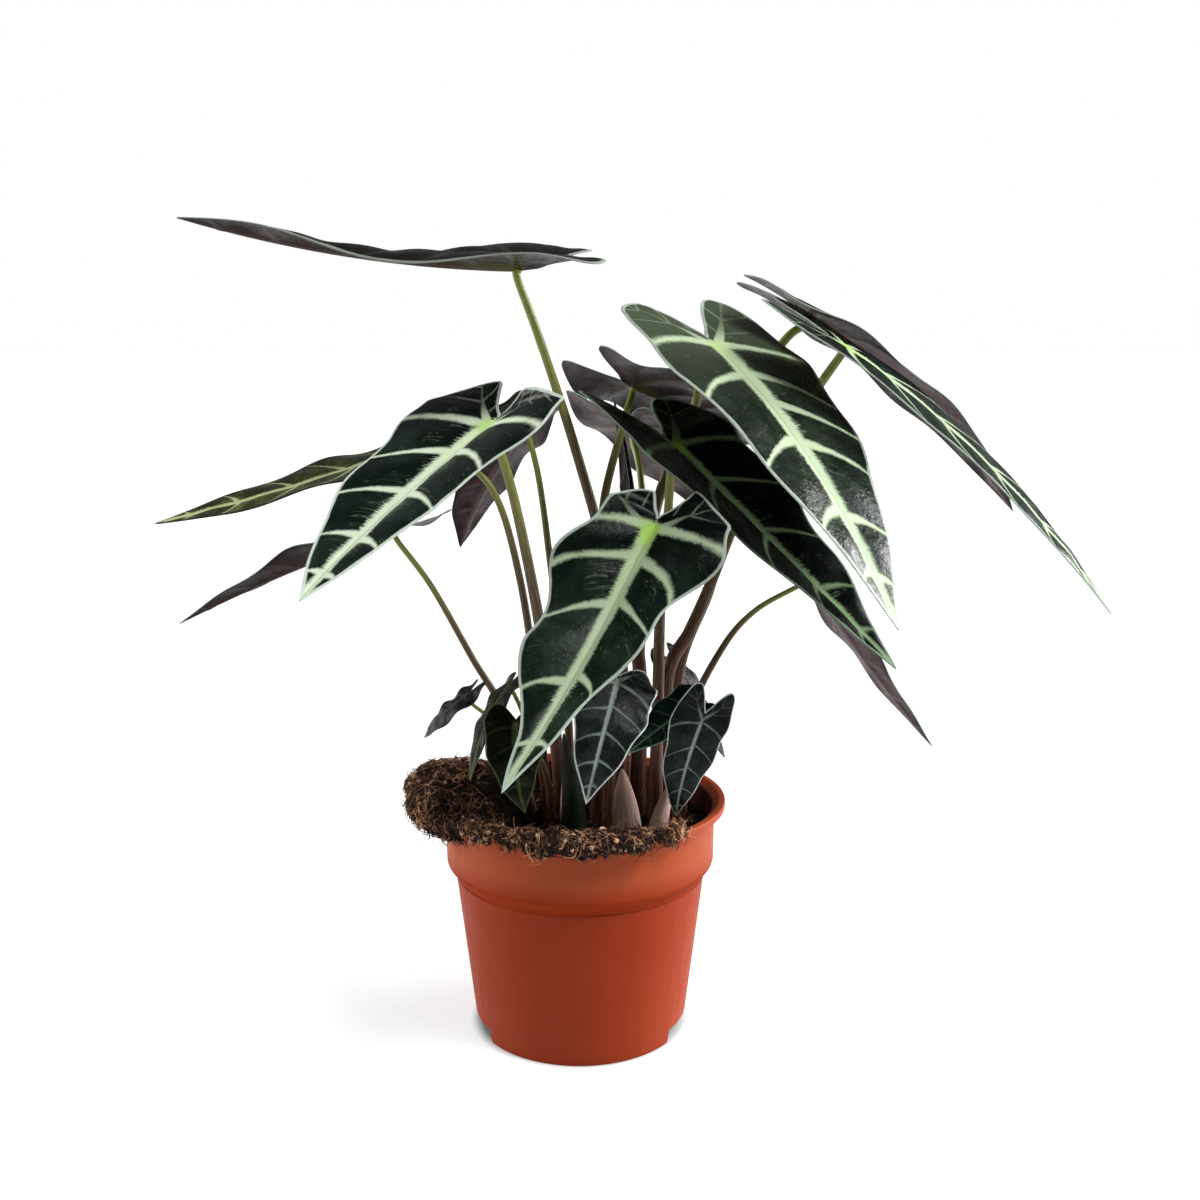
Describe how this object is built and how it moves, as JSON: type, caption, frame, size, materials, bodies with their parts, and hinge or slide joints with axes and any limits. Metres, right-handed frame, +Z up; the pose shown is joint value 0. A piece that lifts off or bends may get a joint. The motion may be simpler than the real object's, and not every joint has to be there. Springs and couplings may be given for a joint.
{
  "type": "potted plant",
  "caption": "Small arrow-leaved aroid house plant with dark, pale-veined, wavy-edged leaves on long stalks, growing in a tapered plastic nursery pot.",
  "frame": {"origin": "middle of the pot's underside, on the plane it stands on", "axes": "+Z up along the pot's axis; -Y is the front, the side the leaf faces look towards; +X to the right seen from the front"},
  "size_m": [0.3764, 0.2363, 0.3304],
  "materials": {
    "pot": "satin",
    "potting_mix": "matte",
    "leaf_blade": "gloss",
    "leaf_stalk": "satin",
    "rolled_leaf": "satin",
    "sheath": "matte"
  },
  "bodies": {
    "root": {"pot": "pot", "soil": "potting_mix", "blade_upper_right": "leaf_blade", "stalk_upper_right": "leaf_stalk", "blade_dark_right": "leaf_blade", "stalk_dark_right": "leaf_stalk", "blade_centre_front": "leaf_blade", "stalk_centre_front": "leaf_stalk", "blade_left": "leaf_blade", "stalk_left": "leaf_stalk", "blade_top_left": "leaf_blade", "stalk_top_left": "leaf_stalk", "blade_far_right_back": "leaf_blade", "stalk_far_right_back": "leaf_stalk", "blade_far_right": "leaf_blade", "stalk_far_right": "leaf_stalk", "blade_lower_right": "leaf_blade", "stalk_lower_right": "leaf_stalk", "blade_left_olive": "leaf_blade", "stalk_left_olive": "leaf_stalk", "blade_left_purple": "leaf_blade", "stalk_left_purple": "leaf_stalk", "blade_hanging_purple": "leaf_blade", "stalk_hanging_purple": "leaf_stalk", "blade_centre_back": "leaf_blade", "stalk_centre_back": "leaf_stalk", "blade_centre_back_low": "leaf_blade", "stalk_centre_back_low": "leaf_stalk", "blade_young_front": "leaf_blade", "stalk_young_front": "leaf_stalk", "blade_young_right": "leaf_blade", "stalk_young_right": "leaf_stalk", "blade_young_between": "leaf_blade", "stalk_young_between": "leaf_stalk", "blade_young_back_right": "leaf_blade", "stalk_young_back_right": "leaf_stalk", "blade_young_left": "leaf_blade", "stalk_young_left": "leaf_stalk", "blade_drooping_grey": "leaf_blade", "stalk_drooping_grey": "leaf_stalk", "blade_behind_tip": "leaf_blade", "stalk_behind_tip": "leaf_stalk", "blade_rolled": "leaf_blade", "stalk_rolled": "leaf_stalk", "sheath_centre": "sheath", "sheath_right": "sheath", "sheath_left": "sheath", "sheath_back": "sheath", "green_spear": "rolled_leaf"}
  },
  "joints": []
}
